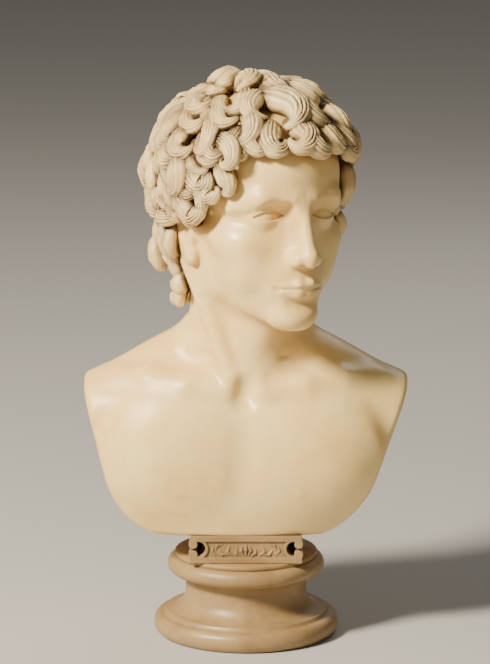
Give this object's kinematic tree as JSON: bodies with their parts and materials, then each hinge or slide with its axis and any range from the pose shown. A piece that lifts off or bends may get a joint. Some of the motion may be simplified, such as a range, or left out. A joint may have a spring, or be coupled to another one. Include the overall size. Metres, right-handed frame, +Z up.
{
  "type": "marble bust",
  "caption": "Marble portrait bust of a curly-haired young man, head turned to his left, bare chest, on a scroll-ended tablet and a turned round socle.",
  "frame": {"origin": "centre of the round socle's underside", "axes": "+Z up, -Y the way the chest faces, +X towards the figure's left shoulder, the way the head turns"},
  "size_m": [0.3238, 0.2348, 0.5765],
  "materials": {
    "marble": "polished cream marble with an old warm patina",
    "socle_marble": "smoothed tan marble, darker in the grooves"
  },
  "bodies": {
    "root": {"bust": "marble", "socle": "socle_marble"}
  },
  "joints": []
}
